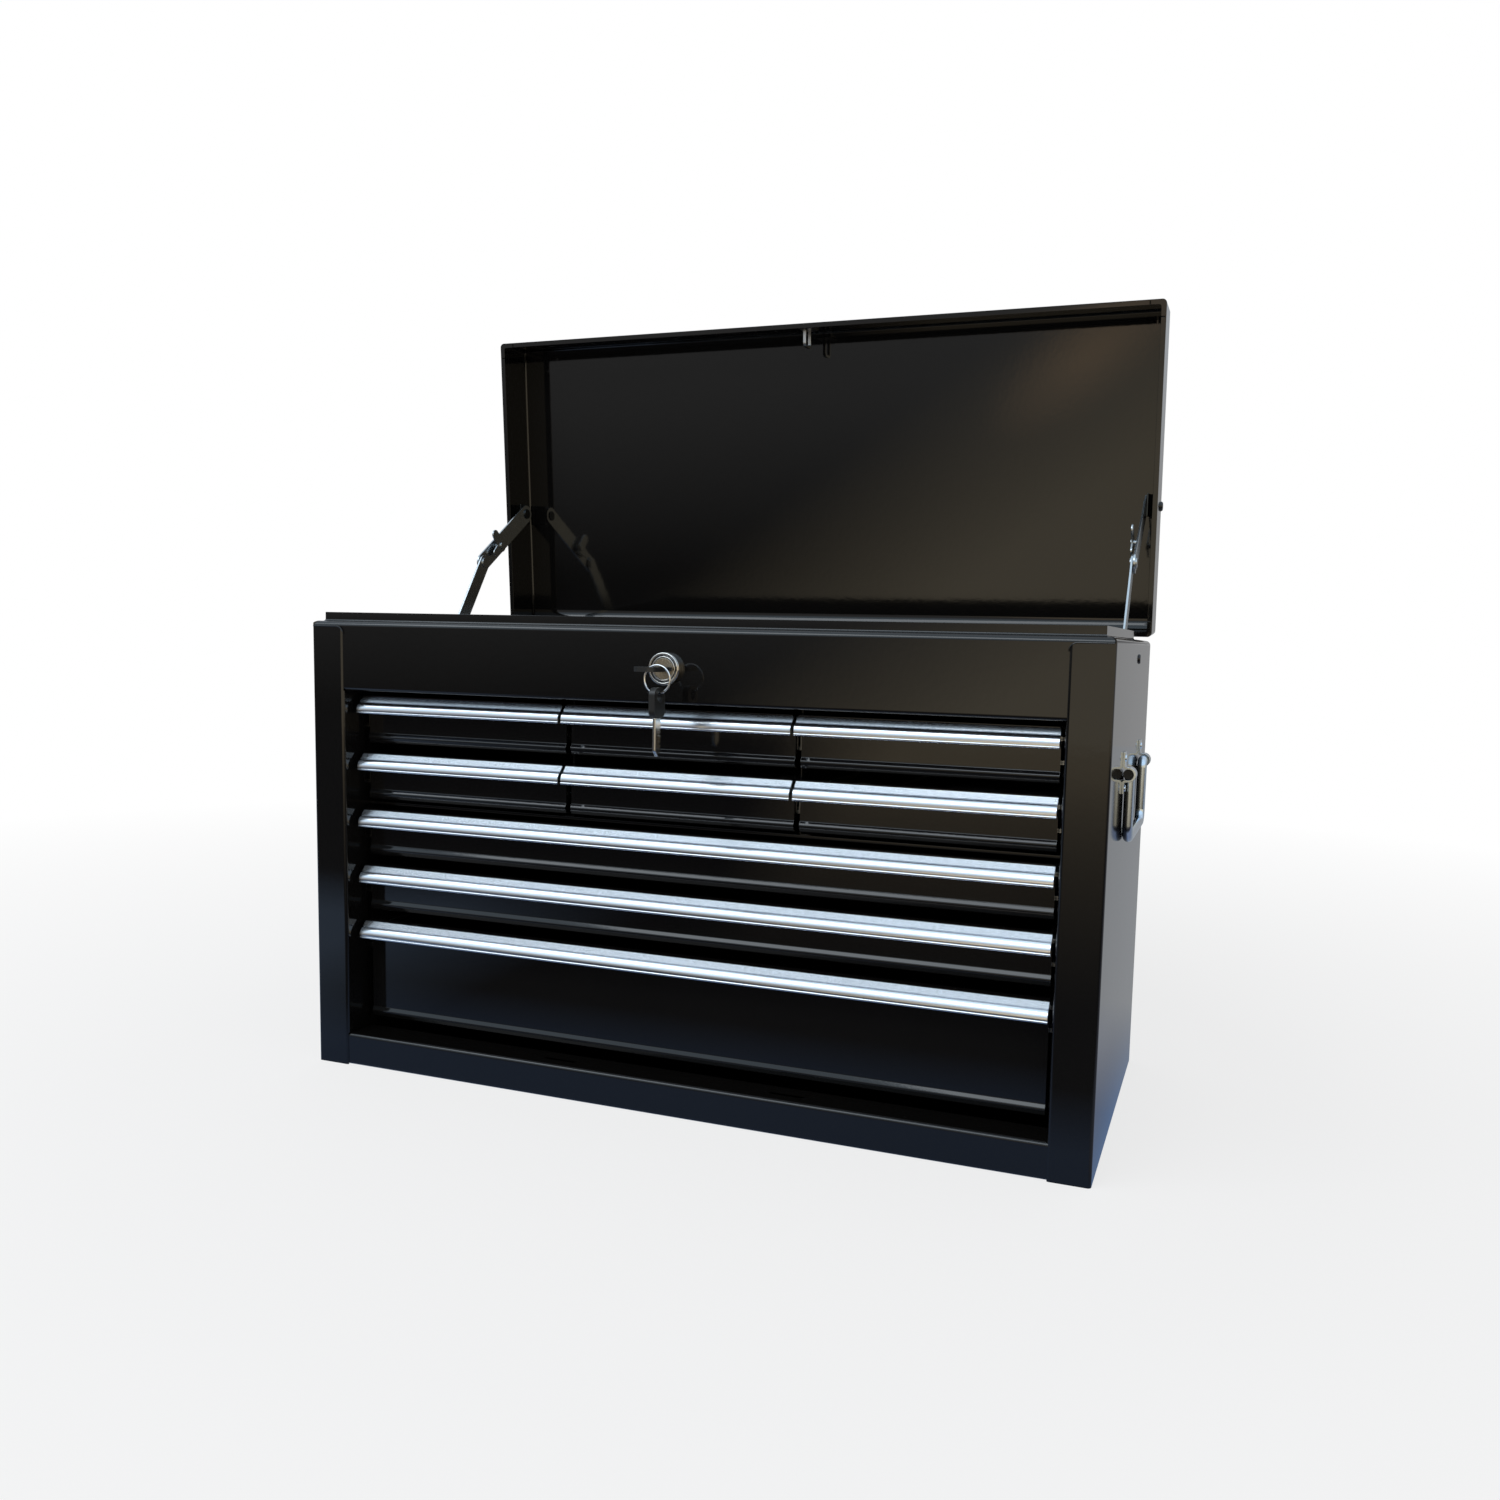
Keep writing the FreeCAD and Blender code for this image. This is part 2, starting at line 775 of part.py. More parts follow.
# A hinge leaf is a plate screwed to its wall. Every second knuckle belongs to
# it, and reaches the plate by a small jog.
def hinge_leaf_shape(wall_y, plate_from, plate_to, first):
    plate = block(-hinge_length / 2, hinge_length / 2, wall_y, wall_y + hinge_leaf,
                  min(plate_from, plate_to), max(plate_from, plate_to))
    pitch = hinge_length / hinge_knuckles
    tangent = hinge_y - hinge_radius
    pieces = []
    for index in range(first, hinge_knuckles, 2):
        x_from = -hinge_length / 2 + index * pitch + hinge_knuckle_gap / 2
        x_to = x_from + pitch - hinge_knuckle_gap
        knuckle = rod_x(hinge_y, hinge_z, hinge_radius, x_from, x_to)
        path = [(wall_y, plate_to), (wall_y, plate_from), (tangent, hinge_z)]
        downward = path if plate_to > plate_from else path[::-1]
        jog = along_x(folded(downward, hinge_leaf, hinge_bend), x_from, x_to)
        pieces += [knuckle, jog]
    bore = rod_x(hinge_y, hinge_z, hinge_pin_radius + hinge_fit,
                 -hinge_length / 2, hinge_length / 2)
    return joined(plate, *pieces).cut(bore)


def hinge_leaf_case():
    plate_top = hinge_z - hinge_leaf_start
    return hinge_leaf_shape(back_plane, plate_top, plate_top - hinge_leaf_height, 0)


def hinge_leaf_lid():
    plate_low = hinge_z + hinge_leaf_start
    return opened(hinge_leaf_shape(half_depth, plate_low, plate_low + hinge_leaf_height, 1))


def hinge_pin():
    return rod_x(hinge_y, hinge_z, hinge_pin_radius, -hinge_length / 2, hinge_length / 2)


def turned_open(y, z):
    angle = math.radians(-lid_open_angle)
    across, up = y - hinge_y, z - hinge_z
    return (hinge_y + across * math.cos(angle) - up * math.sin(angle),
            hinge_z + across * math.sin(angle) + up * math.cos(angle))


# The knee is where the two arms of a stay meet, in front of the line between
# their outer pivots.
def stay_knee(low_pivot, high_pivot):
    across = high_pivot[0] - low_pivot[0]
    up = high_pivot[1] - low_pivot[1]
    distance = math.hypot(across, up)
    along = (lower_arm_length ** 2 - upper_arm_length ** 2 + distance ** 2) / (distance * 2)
    aside = math.sqrt(max(0, lower_arm_length ** 2 - along ** 2))
    return (low_pivot[0] + (across * along - up * aside) / distance,
            low_pivot[1] + (up * along + across * aside) / distance)


case_pivot = (stay_case_pivot_y, stay_case_pivot_z)
lid_pivot = turned_open(stay_lid_pivot_y, stay_lid_pivot_z)
knee = stay_knee(case_pivot, lid_pivot)
lower_arm_outer = half_width - arm_inset
upper_arm_inner = lower_arm_outer + arm_gap
lower_arm_inner = lower_arm_outer - arm_sheet
upper_arm_outer = upper_arm_inner + arm_sheet
upper_direction = unit(lid_pivot[0] - knee[0], lid_pivot[1] - knee[1])
lever_place = (knee[0] + upper_direction[0] * lever_distance,
               knee[1] + upper_direction[1] * lever_distance)
lever_outer = lower_arm_inner - stay_head - arm_gap
lever_inner = lever_outer - lever_sheet


# Plate with a round end at each of two places and straight sides between
def link_plate(first, second, first_radius, second_radius, x_from, x_to):
    plane = on_yz(x_from)
    across, up = second[0] - first[0], second[1] - first[1]
    distance = math.hypot(across, up)
    heading = math.atan2(up, across)
    lean = math.acos((first_radius - second_radius) / distance)

    def rim(centre, radius, angle):
        return plane(centre[0] + radius * math.cos(angle), centre[1] + radius * math.sin(angle))

    left_first = rim(first, first_radius, heading + lean)
    right_first = rim(first, first_radius, heading - lean)
    left_second = rim(second, second_radius, heading + lean)
    right_second = rim(second, second_radius, heading - lean)
    wire = Part.Wire([
        Part.Arc(left_first, rim(first, first_radius, heading + math.pi), right_first).toShape(),
        Part.makeLine(right_first, right_second),
        Part.Arc(right_second, rim(second, second_radius, heading), left_second).toShape(),
        Part.makeLine(left_second, left_first),
    ])
    return Part.Face(wire).extrude(point(x_to - x_from, 0, 0))


def lower_arm():
    plate = link_plate(case_pivot, knee, lower_arm_width / 2, lower_arm_width / 2,
                       lower_arm_inner, lower_arm_outer)
    bore = rod_x(*case_pivot, stay_journal + stay_fit,
                 lower_arm_inner - overrun, lower_arm_outer + overrun)
    head = rod_x(*knee, stay_head_radius, lower_arm_inner - stay_head, lower_arm_inner)
    return joined(plate.cut(bore), head)


def upper_arm():
    plate = link_plate(knee, lid_pivot, upper_arm_width / 2, upper_arm_width / 2,
                       upper_arm_inner, upper_arm_outer)
    bore = rod_x(*lid_pivot, stay_journal + stay_fit,
                 upper_arm_inner - overrun, upper_arm_outer + overrun)
    head = rod_x(*knee, stay_head_radius, upper_arm_outer, upper_arm_outer + stay_head)
    # Pin that carries the release lever
    pin_end = lever_inner - stay_head - stay_fit
    pin = rod_x(*lever_place, lever_pivot, pin_end, upper_arm_inner)
    pin_head = rod_x(*lever_place, stay_head_radius - lever_sheet, pin_end, lever_inner - stay_fit)
    return joined(plate.cut(bore), head, pin, pin_head)


def release_lever():
    heading = math.atan2(upper_direction[1], upper_direction[0])
    lobe_angle = heading + math.radians(lever_lobe_angle)
    lobe = (lever_place[0] + lever_lobe_reach * math.cos(lobe_angle),
            lever_place[1] + lever_lobe_reach * math.sin(lobe_angle))
    tail = (lever_place[0] - lever_tail_reach * upper_direction[0],
            lever_place[1] - lever_tail_reach * upper_direction[1])
    arm = link_plate(lever_place, lobe, lever_hub_radius, lever_lobe_radius,
                     lever_inner, lever_outer)
    foot = link_plate(lever_place, tail, lever_hub_radius, lever_tail_radius,
                      lever_inner, lever_outer)
    bore = rod_x(*lever_place, lever_pivot + stay_fit,
                 lever_inner - overrun, lever_outer + overrun)
    return joined(arm, foot).cut(bore)


def stay_pivots():
    standoff = rod_x(*case_pivot, stay_standoff, lower_arm_outer + arm_gap, inner_half_width)
    journal = rod_x(*case_pivot, stay_journal, lower_arm_inner - stay_fit - stay_head,
                    lower_arm_outer + arm_gap)
    head = rod_x(*case_pivot, stay_head_radius, lower_arm_inner - stay_fit - stay_head,
                 lower_arm_inner - stay_fit)
    pivot = joined(standoff, journal, head)
    return Part.makeCompound([pivot, mirrored(pivot)])


# Cranked bracket that carries a stay's upper arm clear of the lid's side
def stay_brackets():
    plate_inner = upper_arm_outer + arm_gap
    lid_wall = half_width - lid_sheet
    foot_top = lid_top - lid_edge - lid_sheet
    foot_low = foot_top - bracket_foot
    section = folded([
        (plate_inner, stay_lid_pivot_z - bracket_reach),
        (plate_inner, foot_low - bracket_bend - bracket_sheet),
        (lid_wall - bracket_sheet, foot_low + bracket_bend),
        (lid_wall - bracket_sheet, foot_top),
    ][::-1], bracket_sheet, bracket_bend)
    plate = along_y(section, stay_lid_pivot_y - bracket_width / 2,
                    stay_lid_pivot_y + bracket_width / 2)
    pin_end = upper_arm_inner - stay_fit - stay_head
    pin = rod_x(stay_lid_pivot_y, stay_lid_pivot_z, stay_journal,
                pin_end, plate_inner + bracket_sheet)
    head = rod_x(stay_lid_pivot_y, stay_lid_pivot_z, stay_head_radius,
                 pin_end, pin_end + stay_head)
    bracket = opened(joined(plate, pin, head))
    return Part.makeCompound([bracket, mirrored(bracket)])


def lock_housing():
    front = front_plane - bezel_proud
    back = front_plane + lock_body_end
    bezel = rod_y(0, lock_height, bezel_radius, front, front_plane)
    front_edges = [edge for edge in bezel.Edges
                   if abs(edge.BoundBox.YMax - front) < close_enough]
    bezel = bezel.makeFillet(bezel_round, front_edges)
    body = rod_y(0, lock_height, lock_body_radius, front_plane, back)
    bore = rod_y(0, lock_height, plug_radius + plug_fit, front - overrun, back + overrun)
    return joined(bezel, body).cut(bore)


def lock_nut():
    start = front_plane + case_sheet
    corner_radius = lock_nut_flats / 2 / math.cos(math.pi / 6)
    corners = [(corner_radius * math.cos(side * math.pi / 3),
                lock_height + corner_radius * math.sin(side * math.pi / 3))
               for side in range(6)]
    nut = along_y(corners, start, start + lock_nut_height)
    bore = rod_y(0, lock_height, lock_body_radius + plug_fit,
                 start - overrun, start + overrun)
    return nut.cut(bore)


cam_front = front_plane + lock_body_end + arm_gap
cam_back = cam_front + cam_sheet


def lock_plug():
    front = front_plane - plug_proud
    body = rod_y(0, lock_height, plug_radius, front, cam_front)
    hub = rod_y(0, lock_height, plug_hub_radius, cam_front, front_plane + plug_hub_end)
    flange = rod_y(0, lock_height, plug_hub_radius + case_sheet, cam_back,
                   cam_back + case_sheet)
    keyway = block(-keyway_width / 2, keyway_width / 2, front - overrun,
                   front_plane + plug_hub_end + overrun,
                   lock_height - keyway_height / 2, lock_height + keyway_height / 2)
    return joined(body, hub, flange).cut(keyway)


# Hooked cam. It points along +X while the lock is open, and its finger swings
# up and through the lid's staple.
def lock_cam():
    def at(reach, angle):
        turn = math.radians(angle)
        return reach * math.cos(turn), lock_height + reach * math.sin(turn)

    plane = on_xz(cam_front)
    inner_tip, outer_tip = at(cam_inner_reach, cam_finger_angle), at(cam_outer_reach, cam_finger_angle)
    middle_angle = (cam_finger_angle - cam_arm_angle) / 2
    inner_low, outer_low = at(cam_inner_reach, -cam_arm_angle), at(cam_outer_reach, -cam_arm_angle)
    finger_wire = Part.Wire([
        Part.makeLine(plane(*inner_tip), plane(*outer_tip)),
        Part.Arc(plane(*outer_tip), plane(*at(cam_outer_reach, middle_angle)),
                 plane(*outer_low)).toShape(),
        Part.makeLine(plane(*outer_low), plane(*inner_low)),
        Part.Arc(plane(*inner_low), plane(*at(cam_inner_reach, middle_angle)),
                 plane(*inner_tip)).toShape(),
    ])
    finger = Part.Face(finger_wire).extrude(point(0, cam_sheet, 0))
    arm = along_y(rectangle(0, cam_inner_reach + cam_arm_width / 2,
                            lock_height - cam_arm_width / 2, lock_height + cam_arm_width / 2),
                  cam_front, cam_back)
    arm.rotate(point(0, 0, lock_height), point(0, 1, 0), cam_arm_angle)
    hub = rod_y(0, lock_height, cam_hub_radius, cam_front, cam_back)
    bore = rod_y(0, lock_height, plug_hub_radius + plug_fit,
                 cam_front - overrun, cam_back + overrun)
    return joined(hub, arm, finger).cut(bore)


# Blade seen flat: u across and v along it from the head, with its row of cuts
def blade_outline(length):
    half = key_blade_width / 2
    corners = [(-half, 0), (-half, length - half), (0, length)]
    row = [(half, length - half)]
    for index, depth_share in enumerate(key_cut_shares):
        v = length - half - (index + 0.5) * key_cut_pitch
        row.append((half, v + key_cut_pitch * key_land_share))
        row.append((half - key_blade_width * depth_share, v))
        row.append((half, v - key_cut_pitch * key_land_share))
    return corners + row + [(half, 0)]


def key_in_lock():
    shoulder_y = front_plane - plug_proud - key_shoulder
    head = along_z(rectangle(-key_head_width / 2, key_head_width / 2,
                             shoulder_y - key_head_length, shoulder_y, key_head_corner),
                   lock_height - key_head_sheet / 2, lock_height + key_head_sheet / 2)
    hole_end = shoulder_y - key_head_length + key_hole_setback
    hole = along_z(rectangle(-key_hole_width / 2, key_hole_width / 2,
                             hole_end, hole_end + key_hole_length,
                             key_hole_width / 2 - key_blade_sheet / 2),
                   lock_height - overrun, lock_height + overrun)
    blade = along_z([(u, shoulder_y + v) for u, v in blade_outline(key_blade_length)],
                    lock_height - key_blade_sheet / 2, lock_height + key_blade_sheet / 2)
    return joined(head.cut(hole), blade)


# The ring hangs over the web beside the key's hole, and the spare key hangs
# on the foot of the ring.
web_width = (key_head_width - key_hole_width) / 2
ring_x = key_hole_width / 2 + web_width / 2
ring_y = (front_plane - plug_proud - key_shoulder - key_head_length + key_hole_setback
          + key_hole_length / 2)
ring_seat = math.sqrt((ring_radius - ring_wire - ring_fit) ** 2 - (web_width / 2) ** 2)
ring_z = lock_height + key_head_sheet / 2 - ring_seat


def key_ring():
    return Part.makeTorus(ring_radius, ring_wire, point(ring_x, ring_y, ring_z),
                          point(0, 1, 0))


def spare_key():
    wire_inside = ring_radius - ring_wire
    hole_top = ring_z - math.sqrt(wire_inside ** 2 - (spare_head_sheet / 2) ** 2) + ring_fit
    head_top = hole_top + spare_hole_web
    head = along_x(rectangle(ring_y - spare_head_width / 2, ring_y + spare_head_width / 2,
                             head_top - spare_head_length, head_top, key_head_corner),
                   ring_x - spare_head_sheet / 2, ring_x + spare_head_sheet / 2)
    hole = rod_x(ring_y, hole_top - spare_hole_radius, spare_hole_radius,
                 ring_x - spare_head_sheet, ring_x + spare_head_sheet)
    blade_top = head_top - spare_head_length
    blade = along_x([(ring_y + u, blade_top - v) for u, v in blade_outline(key_blade_length)],
                    ring_x - key_blade_sheet / 2, ring_x + key_blade_sheet / 2)
    return joined(head.cut(hole), blade)


def lid_staple():
    wall_y = -half_depth + lid_sheet
    loop_low = lid_rim + staple_low
    loop_high = loop_low + staple_gap + staple_strip * 2
    middle = (loop_low + loop_high) / 2
    plate = block(-staple_plate_width / 2, staple_plate_width / 2, wall_y,
                  wall_y + staple_plate, middle - staple_plate_height / 2,
                  middle + staple_plate_height / 2)
    loop_start = wall_y + staple_plate
    section = folded([
        (loop_start, loop_low),
        (loop_start + staple_reach, loop_low),
        (loop_start + staple_reach, loop_high),
        (loop_start, loop_high),
    ], staple_strip, staple_corner - staple_strip / 2)
    loop = along_x(section, -staple_width / 2, staple_width / 2)
    return opened(joined(plate, loop))


bail_x = half_width + bail_wall_gap + bail_radius


def bail_handle():
    pin_from = bail_half_span + bail_pin_length
    corners = [
        (bail_centre_y - pin_from, bail_pivot_height),
        (bail_centre_y - bail_half_span, bail_pivot_height, bail_radius + clip_sheet),
        (bail_centre_y - bail_half_span, bail_pivot_height - bail_drop, bail_corner),
        (bail_centre_y + bail_half_span, bail_pivot_height - bail_drop, bail_corner),
        (bail_centre_y + bail_half_span, bail_pivot_height, bail_radius + clip_sheet),
        (bail_centre_y + pin_from, bail_pivot_height),
    ]
    path = Part.Wire(rounded_edges(corners, on_yz(bail_x), False))
    circle = Part.makeCircle(bail_radius, point(bail_x, corners[0][0], bail_pivot_height),
                             point(0, 1, 0))
    return path.makePipeShell([Part.Wire([circle])], True, True)


# Strap that holds one end of a bail against the side
def handle_clips():
    pocket = bail_radius + clip_fit
    low, high = bail_pivot_height - pocket, bail_pivot_height + pocket
    section = folded([
        (half_width, bail_pivot_height + clip_upper),
        (half_width, high),
        (bail_x + pocket, high, pocket),
        (bail_x + pocket, low, pocket),
        (half_width, low),
        (half_width, bail_pivot_height - clip_lower),
    ], clip_sheet, clip_bend)
    clips = []
    for side in (-1, 1):
        middle = bail_centre_y + side * clip_offset
        clip = along_y(section, middle - clip_width / 2, middle + clip_width / 2)
        clips += [clip, mirrored(clip)]
    return Part.makeCompound(clips)


nodes = {
    "side_panel_right": side_panel(),
    "front_panel": front_panel(),
    "back_panel": back_panel(),
    "base_pan": base_pan(),
    "till_floor": till_floor(),
    "cross_shelf": cross_shelf(),
    "slide_rails": slide_rails(),
    "lid_tray": lid_tray(),
    "hinge_leaf_case": hinge_leaf_case(),
    "hinge_leaf_lid": hinge_leaf_lid(),
    "hinge_pin": hinge_pin(),
    "lid_staple": lid_staple(),
    "stay_pivots": stay_pivots(),
    "stay_brackets": stay_brackets(),
    "stay_lower_right": lower_arm(),
    "stay_upper_right": upper_arm(),
    "stay_lever_right": release_lever(),
    "lock_housing": lock_housing(),
    "lock_nut": lock_nut(),
    "lock_plug": lock_plug(),
    "lock_cam": lock_cam(),
    "key_in_lock": key_in_lock(),
    "key_ring": key_ring(),
    "spare_key": spare_key(),
    "handle_clips": handle_clips(),
    "bail_right": bail_handle(),
}

for right_name in [name for name in nodes if name.endswith("_right")]:
    nodes[right_name.replace("_right", "_left")] = mirrored(nodes[right_name])

for name, maker in (("slide_walls", slide_wall), ("column_dividers", column_divider)):
    one_side = maker()
    nodes[name] = Part.makeCompound([one_side, mirrored(one_side)])

for name, left, right, wall_left, wall_right, bottom, low in drawer_table():
    nodes[f"{name}_box"] = drawer_box(left, right, wall_left, wall_right, bottom, low)
    nodes[f"{name}_pull"] = drawer_pull(left, right, bottom)
    nodes[f"{name}_runners"] = drawer_runners(wall_left, wall_right, bottom)

for name, shape in nodes.items():
    shape.exportStep(f"parts/{name}.step")
    print(name, "solids", len(shape.Solids), "valid", shape.isValid())
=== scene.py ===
import bmesh
import bpy
import json
from math import atan2, cos, pi, radians, sin
from mathutils import Matrix, Vector

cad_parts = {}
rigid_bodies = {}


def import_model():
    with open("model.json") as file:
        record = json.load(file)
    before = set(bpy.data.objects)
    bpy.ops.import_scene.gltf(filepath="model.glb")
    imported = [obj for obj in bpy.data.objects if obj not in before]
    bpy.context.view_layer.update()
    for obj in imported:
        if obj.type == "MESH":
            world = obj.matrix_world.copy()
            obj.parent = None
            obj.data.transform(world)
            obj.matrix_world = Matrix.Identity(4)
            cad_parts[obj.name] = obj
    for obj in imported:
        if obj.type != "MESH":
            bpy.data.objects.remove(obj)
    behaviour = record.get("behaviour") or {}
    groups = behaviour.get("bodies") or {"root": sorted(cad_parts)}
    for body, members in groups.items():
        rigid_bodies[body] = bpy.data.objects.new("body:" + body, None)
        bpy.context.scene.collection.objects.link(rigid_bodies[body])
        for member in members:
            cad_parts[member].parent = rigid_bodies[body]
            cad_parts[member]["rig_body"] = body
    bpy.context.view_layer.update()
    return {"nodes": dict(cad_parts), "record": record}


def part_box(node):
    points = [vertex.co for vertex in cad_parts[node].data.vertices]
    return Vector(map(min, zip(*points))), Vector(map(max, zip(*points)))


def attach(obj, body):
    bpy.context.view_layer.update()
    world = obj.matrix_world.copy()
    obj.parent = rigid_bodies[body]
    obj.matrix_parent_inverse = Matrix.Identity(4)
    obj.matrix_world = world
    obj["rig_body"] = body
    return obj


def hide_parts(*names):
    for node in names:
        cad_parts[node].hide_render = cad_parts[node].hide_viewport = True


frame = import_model()
nodes = frame["nodes"]
print("frame loaded:", len(nodes), "nodes")


# Shader maths is written as plain expressions on sockets.
class Amount:
    def __init__(self, finish, socket):
        self.finish = finish
        self.socket = socket

    def combine(self, operation, first, second=None):
        sockets = {0: first} if second is None else {0: first, 1: second}
        return Amount(self.finish, self.finish.node("ShaderNodeMath", {"operation": operation}, sockets).outputs[0])

    def __add__(self, other):
        return self.combine("ADD", self, other)

    def __radd__(self, other):
        return self.combine("ADD", other, self)

    def __sub__(self, other):
        return self.combine("SUBTRACT", self, other)

    def __rsub__(self, other):
        return self.combine("SUBTRACT", other, self)

    def __mul__(self, other):
        return self.combine("MULTIPLY", self, other)

    def __rmul__(self, other):
        return self.combine("MULTIPLY", other, self)

    def __truediv__(self, other):
        return self.combine("DIVIDE", self, other)

    def clipped(self):
        return self.combine("MINIMUM", self.combine("MAXIMUM", self, 0.0), 1.0)

    # rises from 0 at start to 1 after over
    def rising(self, start, over):
        return ((self - start) / over).clipped()


class Wiring:
    def __init__(self, holder):
        holder.use_nodes = True
        self.tree = holder.node_tree
        self.tree.nodes.clear()

    def feed(self, socket, value):
        if isinstance(value, Amount):
            value = value.socket
        if isinstance(value, bpy.types.NodeSocket):
            self.tree.links.new(value, socket)
        else:
            socket.default_value = value

    def node(self, kind, settings, sockets):
        made = self.tree.nodes.new(kind)
        for key, value in settings.items():
            if key == "stops":
                while len(made.color_ramp.elements) < len(value):
                    made.color_ramp.elements.new(0.5)
                for element, (place, colour) in zip(made.color_ramp.elements, value):
                    element.position = place
                    element.color = colour
            else:
                setattr(made, key, value)
        for key, value in sockets.items():
            self.feed(made.inputs[key], value)
        return made

    def amount(self, kind, settings, sockets, output=0):
        return Amount(self, self.node(kind, settings, sockets).outputs[output])

    def between(self, amount, low, high):
        sockets = {"Factor": amount, 6: low, 7: high}
        return self.node("ShaderNodeMix", {"data_type": "RGBA"}, sockets).outputs[2]

    # each is 1 for its kind of ray: seen straight, off a gloss, and through glass
    def seenRays(self):
        path = self.node("ShaderNodeLightPath", {}, {})
        kinds = ("Is Camera Ray", "Is Glossy Ray", "Is Transmission Ray")
        return [Amount(self, path.outputs[kind]) for kind in kinds]


class Finish(Wiring):
    def __init__(self, name):
        self.material = bpy.data.materials.new(name)
        super().__init__(self.material)
        self.output = self.node("ShaderNodeOutputMaterial", {}, {})
        self.surface = self.node("ShaderNodeBsdfPrincipled", {}, {})
        self.tree.links.new(self.surface.outputs[0], self.output.inputs["Surface"])

    def set(self, **values):
        for key, value in values.items():
            self.feed(self.surface.inputs[key.replace("_", " ")], value)
        return self

    def place(self, scale=(1, 1, 1)):
        coordinates = self.node("ShaderNodeTexCoord", {}, {})
        return self.node("ShaderNodeMapping", {}, {"Vector": coordinates.outputs["Object"], "Scale": scale}).outputs[0]

    def noise(self, size, detail=2.0, roughness=0.5, stretch=(1, 1, 1)):
        sockets = {"Vector": self.place(stretch), "Scale": 1 / size, "Detail": detail, "Roughness": roughness}
        return self.amount("ShaderNodeTexNoise", {}, sockets, "Fac")

    def bump(self, height, depth, strength=1.0):
        sockets = {"Height": height, "Distance": depth, "Strength": strength}
        return self.node("ShaderNodeBump", {}, sockets).outputs[0]


paintLook = {
    "deep": (0.0045, 0.0043, 0.0042, 1), "pale": (0.0085, 0.008, 0.0076, 1), "cloudSize": 0.22,
    "gloss": 0.04, "smudge": 0.05, "smudgeSize": 0.035, "specular": 0.5,
    "peelSize": 0.0042, "peelDepth": 0.000012, "finePeel": 0.25,
}


# Black powder coat: smooth, with a faint orange peel and dull smudges
def powderCoat(name, look):
    coat = Finish(name)
    cloud = coat.noise(look["cloudSize"], 3.0)
    smudge = coat.noise(look["smudgeSize"], 4.0, 0.6)
    peel = coat.noise(look["peelSize"], 1.0)
    fine = coat.noise(look["peelSize"] / 4, 1.0)
    coat.set(Base_Color=coat.between(cloud, look["deep"], look["pale"]),
             Roughness=(look["gloss"] + smudge * look["smudge"]).clipped(),
             Specular_IOR_Level=look["specular"],
             Normal=coat.bump(peel + fine * look["finePeel"], look["peelDepth"]))
    return coat.material


pullLook = {
    "bright": (0.86, 0.88, 0.91, 1), "grey": (0.7, 0.72, 0.75, 1), "cloudSize": 0.06,
    "gloss": 0.16, "line": 0.1, "lineSize": 0.0005, "lineDepth": 0.0000025,
}


# Drawn aluminium: long fine lines along the pull
def drawnAluminium(name, look):
    metal = Finish(name)
    lines = metal.noise(look["lineSize"], 2.0, 0.5, (0.01, 1, 1))
    cloud = metal.noise(look["cloudSize"], 2.0, 0.5, (0.3, 1, 1))
    metal.set(Base_Color=metal.between(cloud, look["grey"], look["bright"]), Metallic=1.0,
              Roughness=(look["gloss"] + lines * look["line"]).clipped(),
              Normal=metal.bump(lines, look["lineDepth"]))
    return metal.material


platingLook = {"scratchSize": 0.0011, "scratch": 0.12, "scratchDepth": 0.000005}


# Plated steel: a cloudy spangle between two greys, and fine scratches
def platedSteel(name, dull, bright, gloss, spangle):
    look = platingLook
    metal = Finish(name)
    cloud = metal.noise(spangle, 3.0, 0.6)
    scratch = metal.noise(look["scratchSize"], 4.0, 0.7)
    metal.set(Base_Color=metal.between(cloud, dull, bright), Metallic=1.0,
              Roughness=(gloss + scratch * look["scratch"]).clipped(),
              Normal=metal.bump(scratch, look["scratchDepth"]))
    return metal.material


plasticLook = {"grainSize": 0.0007, "grain": 0.14, "grainDepth": 0.00002, "rubbedSize": 0.006, "gloss": 0.34}


# Black plastic with a moulded grain, rubbed paler in places
def mouldedPlastic(name, colour, worn):
    look = plasticLook
    plastic = Finish(name)
    grain = plastic.noise(look["grainSize"], 2.0)
    rubbed = plastic.noise(look["rubbedSize"], 3.0, 0.6)
    plastic.set(Base_Color=plastic.between(rubbed, colour, worn),
                Roughness=(look["gloss"] + grain * look["grain"]).clipped(),
                Normal=plastic.bump(grain, look["grainDepth"]))
    return plastic.material


casePaint = powderCoat("casePaint", paintLook)
drawerPaint = powderCoat("drawerPaint", paintLook)
pullMetal = drawnAluminium("pullMetal", pullLook)
stayZinc = platedSteel("stayZinc", (0.42, 0.45, 0.47, 1), (0.6, 0.63, 0.65, 1), 0.2, 0.012)
# Dark plated steel for the stay brackets; on the key in the lock it also darkens the blade as painted shade of the
# keyway
stayDark = platedSteel("stayDark", (0.03, 0.035, 0.04, 1), (0.07, 0.08, 0.09, 1), 0.24, 0.012)
slideZinc = platedSteel("slideZinc", (0.5, 0.52, 0.54, 1), (0.66, 0.68, 0.7, 1), 0.24, 0.02)
handleChrome = platedSteel("handleChrome", (0.5, 0.58, 0.67, 1), (0.66, 0.75, 0.84, 1), 0.08, 0.01)
lockNickel = platedSteel("lockNickel", (0.76, 0.74, 0.7, 1), (0.9, 0.88, 0.84, 1), 0.08, 0.006)
plugBrass = platedSteel("plugBrass", (0.56, 0.48, 0.36, 1), (0.72, 0.64, 0.5, 1), 0.2, 0.004)
keyNickel = platedSteel("keyNickel", (0.74, 0.73, 0.71, 1), (0.9, 0.89, 0.87, 1), 0.14, 0.004)
ringSteel = platedSteel("ringSteel", (0.74, 0.74, 0.74, 1), (0.92, 0.92, 0.92, 1), 0.08, 0.003)
